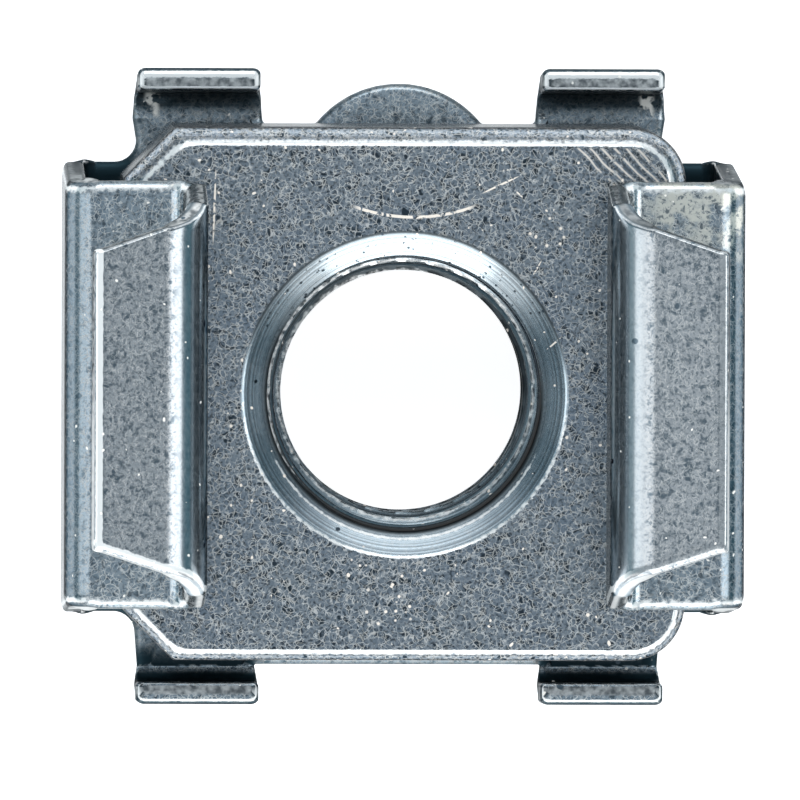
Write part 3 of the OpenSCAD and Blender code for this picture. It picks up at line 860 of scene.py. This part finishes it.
def nutMarks(add, place, ragged):
    # scuffs and dents of the nut's front face and countersink: light ones and dark ones, as two masks
    broken = add("MapRange", soft, ragged, 0.40, 0.48)
    x, y, z = (add("SeparateXYZ", None, place, out=axis) for axis in "XYZ")
    # no scuff reaches below the front face
    faceZ = nut["lift"] + nut["height"]
    front = add("MapRange", soft, z, faceZ - 0.35, faceZ - 0.25)
    flat = add("CombineXYZ", None, x, y, 0.0)
    light = 0.0
    for centre, radius, start, end, width in scuffs["arcs"]:
        away = add("VectorMath", distance, flat, (*centre, 0.0), out="Value")
        away = add("Math", apart, add("Math", minus, away, radius))
        stroke = add("MapRange", soft, away, width * 0.4, width * 0.6, 1.0, 0.0)
        middle, half = (start + end) / 2, (end - start) / 2
        reach = add("Math", apart, add("Math", minus, x, middle))
        light = add("Math", larger, light, within(add, stroke, (reach, half * 0.8, half, 1.0, 0.0)))
    # short strokes: a turned frame for each, then a thin long ellipse
    for middle, turn, length, width in scuffs["strokes"]:
        turned = add("Mapping", dict(vector_type="TEXTURE"), place, (*middle, faceZ),
                     (0, 0, math.radians(turn)), (length / 2, width / 2, 1.0))
        away = add("VectorMath", size, turned, out="Value")
        light = add("Math", larger, light, add("MapRange", soft, away, 0.7, 1.0, 1.0, 0.0))
    light = add("Math", times, light, broken)
    for middle, reach in scuffs["peppered"]:
        away = add("VectorMath", distance, place, (*middle, faceZ), out="Value")
        near = add("MapRange", soft, away, reach * 0.5, reach, 1.0, 0.0)
        dots = add("TexVoronoi", None, Vector=place, Scale=noise["peppered"])
        light = add("Math", larger, light, within(add, near, (dots, 0.12, 0.22, 1.0, 0.0)))
    # shear grooves across the rolled corner, level with its chord
    toCorner = add("Math", times, add("Math", plus, x, y), math.sqrt(0.5))
    bends = add("TexNoise", None, place, Scale=noise["grooves"], Detail=1.0)
    wavy = add("Math", timesPlus, bends, scuffs["grooveWander"], toCorner)
    wave = add("Math", dict(operation="SINE"), add("Math", times, wavy, 2 * math.pi / scuffs["groovePitch"]))
    region = add("Attribute", dict(attribute_name="region"), out="Fac")   # 0 face, 1 bevel, 2 side, 3 bore
    zone = add("MapRange", soft, toCorner, scuffs["grooveFrom"], scuffs["grooveFrom"] + 0.25)
    patches = add("TexNoise", None, place, Scale=noise["patches"])
    zone = within(add, add("Math", times, zone, front), (region, 0.3, 0.6, 1.0, 0.0), (patches, 0.38, 0.46))
    ridges = add("Math", times, add("MapRange", soft, wave, 0.4, 1.0, 0.0, 0.75), zone)
    grooves = add("Math", times, add("MapRange", soft, wave, -0.3, -0.8, 0.0, 0.6), zone)
    # the cutter left small chips and pits across the back of the countersink
    chips = add("TexVoronoi", None, Vector=place, Scale=noise["chips"])
    chips = add("MapRange", soft, chips, 0.16, 0.26, 1.0, 0.0)
    chips = within(add, chips, (region, 2.2, 2.8), (z, 4.3, 4.5), (y, 0.6, 1.8), (ragged, 0.46, 0.54))
    return add("Math", times, add("Math", larger, light, ridges), front), add("Math", larger, grooves, chips)


# scuffs on the nut's front face, in millimetres and degrees
scuffs = dict(
    # centre, radius, from x, to x, width
    arcs=(((0.166, 7.21), 3.57, -1.17, 1.54, 0.06),),
    # middle, turn, length, width
    strokes=(((1.95, 4.31), 25, 0.95, 0.05), ((2.05, 4.62), 8, 0.30, 0.05), ((2.35, 4.10), -40, 0.35, 0.04),
             ((3.05, 1.05), 42, 0.45, 0.04), ((2.7, 2.6), 60, 0.40, 0.04), ((-3.915, 3.85), 88, 1.75, 0.05)),
    peppered=(((-0.3, -4.3), 0.8), ((2.9, 3.3), 0.6), ((-0.9, -3.4), 0.4)),   # middle and size
    grooveFrom=5.85, groovePitch=0.17, grooveWander=0.16,
)
# threads: lines of noise in the net, as scale and width; spots: specks and pits, as scale of their cells,
# share of the cells without one, and size; wornChalk, netChalk: how much of a worn mark, painted highlights
# included, and of the net scatters like chalk
springFinish = dict(
    deep="#5b6871", dark="#91a1ae", mid="#adb5b8", pale="#fdf9f2", warm="#a3a7aa", bright="#f6f6f4",
    # the dark colour below is the colour of painted shade
    speck="#fffaf2", salts="#dcdacf", fractureDark="#6a6f72", fracturePale="#cfd0cf", grime="#22333a",
    grazing="#39464c",
    threads=((5.0, 0.018), (8.5, 0.024)), cellScale=7.5, curl=0.16, netShare=0.5, grainShare=0.75,
    spots=((4.0, 0.55, 0.17), (2.4, 0.7, 0.2)), dullScale=7.5, wornChalk=0.6, netChalk=0.6,
    roughness=0.18, bump=0.09, frontHighlight=0.65,
    glintsAt=(5.12, 5.88),   # where the painted glints sit in the upper tabs' folds: out from the middle, and back
    saltsFrom=((4.5, 5.3), (2.4, 3.6), (5.1, 5.3)),   # x, y and z at which the salts start and are full
)
nutFinish = dict(
    deep="#39444c", dark="#7c8a99", mid="#9ea4a8", pale="#fdf9f2", bright="#f6f6f4", speck="#fff3e6",
    # the dark colour below is the colour of painted shade and of the rim's stain
    turned="#c0ced6", grime="#15191b", grazing="#39464c",
    threads=((5.2, 0.018), (9.0, 0.024)), cellScale=8.0, curl=0.16, netShare=0.55, grainShare=0.9,
    spots=((4.5, 0.45, 0.19), (3.0, 0.7, 0.2)), dullScale=7.0, wornChalk=0.6, netChalk=0.58,
    roughness=0.2, bump=0.12,
)

springZinc = zincPlate("zincPlatedSpringSteel", springFinish, None)
nutZinc = zincPlate("zincPlatedNutSteel", nutFinish, nutMarks)
print("materials made")

cagePiece = cageSheet(springZinc)
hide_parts("cage")
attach(cagePiece, "root")

nutPiece = nutSurface(nutZinc)
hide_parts("nut")
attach(nutPiece, "root")
print("pieces made")


stage = dict(
    floorColour="#f4f4f4", floorHalf=3.0, floorGlow=0.84,
    skyColour="#b4c0c9", horizonColour="#608d9c", skyFrom=(0.15, 0.8),
    wallTop=(0.35, 0.5),   # heights between which the walls of light fade out
    # how far along y each wall of light starts and is full, its colour and strength
    walls=((-0.38, -0.60, "#ffffff", 1.25), (0.45, 0.70, "#dde6ee", 0.85)),
    # degrees from straight up, azimuth, distance and size in metres, radiance
    softboxes=dict(
        softboxRight=(50, 0, 1.2, (0.56, 0.6), 2.5),
        softboxLeft=(50, 180, 1.2, (0.9, 0.44), 1.5),
        softboxLeftLow=(74, 180, 1.3, (0.9, 0.4), 0.35),
        softboxBack=(46, 90, 1.2, (0.55, 0.7), 2.8),
        softboxBackLow=(77, 90, 1.2, (0.22, 1.4), 1.45),
        softboxFront=(63, -90, 1.4, (1.5, 1.7), 2.3),
    ),
)


def makeFloor():
    # a flat pale sheet; camera and mirror rays see it as white, less the object's shadow
    mesh = bpy.data.meshes.new("floor")
    s = stage["floorHalf"]
    mesh.from_pydata([(-s, -s, 0), (s, -s, 0), (s, s, 0), (-s, s, 0)], [], [(0, 1, 2, 3)])
    floor = bpy.data.objects.new("floor", mesh)
    bpy.context.scene.collection.objects.link(floor)
    floor.location.z = -0.00002
    material = newMaterial("paintedFloor")
    add = functools.partial(addNode, material.node_tree)
    rays = [add("LightPath", out=f"Is {kind} Ray") for kind in ("Camera", "Glossy", "Transmission")]
    seen = add("Math", larger, add("Math", larger, rays[0], rays[1]), rays[2])
    paint = add("BsdfDiffuse", None, hexToLinear(stage["floorColour"]))
    lit = add("AddShader", None, paint, add("Emission", None, (1, 1, 1, 1), stage["floorGlow"]))
    add("OutputMaterial", None, add("MixShader", None, seen, paint, lit))
    mesh.materials.append(material)


def softbox(name, zenith, azimuth, distance, size, radiance):
    # an area light facing the object from distance * (sin z cos a, sin z sin a, cos z), with z degrees from
    # straight up and azimuth a; its power gives the stated radiance
    z, a = math.radians(zenith), math.radians(azimuth)
    data = bpy.data.lights.new(name, "AREA")
    data.shape = "RECTANGLE"
    data.size, data.size_y = size
    data.energy = radiance * size[0] * size[1] * math.pi
    light = bpy.data.objects.new(name, data)
    direction = np.array([math.sin(z) * math.cos(a), math.sin(z) * math.sin(a), math.cos(z)])
    light.location = (direction * distance).tolist()
    light.rotation_euler = (0, z, a)
    bpy.context.scene.collection.objects.link(light)


def makeWorld():
    # the room's air: pale overhead, a dark cool band at the horizon, and pale walls in front and behind
    world = bpy.data.worlds.new("studioAir")
    bpy.context.scene.world = world
    world.use_nodes = True
    world.node_tree.nodes.clear()
    add = functools.partial(addNode, world.node_tree)
    direction = add("TexCoord", out="Generated")
    depth, height = (add("SeparateXYZ", None, direction, out=axis) for axis in "YZ")
    horizon, sky = hexToLinear(stage["horizonColour"]), hexToLinear(stage["skyColour"])
    colour = add("Mix", colours, add("MapRange", soft, height, *stage["skyFrom"]), i6=horizon, i7=sky, out=2)
    low = add("MapRange", soft, height, *stage["wallTop"], 1.0, 0.0)
    for start, end, wall, strength in stage["walls"]:
        wallColour = [channel * strength for channel in hexToLinear(wall)]
        colour = add("Mix", colours, within(add, low, (depth, start, end)), i6=colour, i7=wallColour, out=2)
    add("OutputWorld", None, add("Background", None, colour, 1.0))


makeFloor()
for lightName, values in stage["softboxes"].items():
    softbox(lightName, *values)
makeWorld()
print("stage made")

bpy.context.scene.view_settings.view_transform = "Standard"

camera = dict(
    distance=0.450, aimHeight=0.004, aimX=-0.00007, aimY=-0.00014,
    towardBack=1.95, towardLeft=1.80, roll=-0.21,   # degrees
    lens=986.175, sensor=36.0,   # together they show a width of 16.43 mm at the aim's height
)


def makeCamera():
    # looks down on the part from a little to the left and behind, through a long lens
    data = bpy.data.cameras.new("camera")
    view = bpy.data.objects.new("camera", data)
    bpy.context.scene.collection.objects.link(view)
    data.sensor_width, data.lens = camera["sensor"], camera["lens"]
    data.clip_start, data.clip_end = 0.01, 20.0
    turnX, turnY, turnZ = (
        mathutils.Matrix.Rotation(math.radians(camera[key]), 3, axis)
        for key, axis in (("towardBack", "X"), ("towardLeft", "Y"), ("roll", "Z")))
    viewToObject = (turnX @ turnY @ turnZ).transposed()
    aim = mathutils.Vector((0, 0, camera["aimHeight"]))
    offset = mathutils.Vector((camera["aimX"], camera["aimY"], camera["distance"]))
    place = aim + viewToObject @ offset
    view.matrix_world = mathutils.Matrix.LocRotScale(place, viewToObject.to_quaternion(), None)
    bpy.context.scene.camera = view


makeCamera()
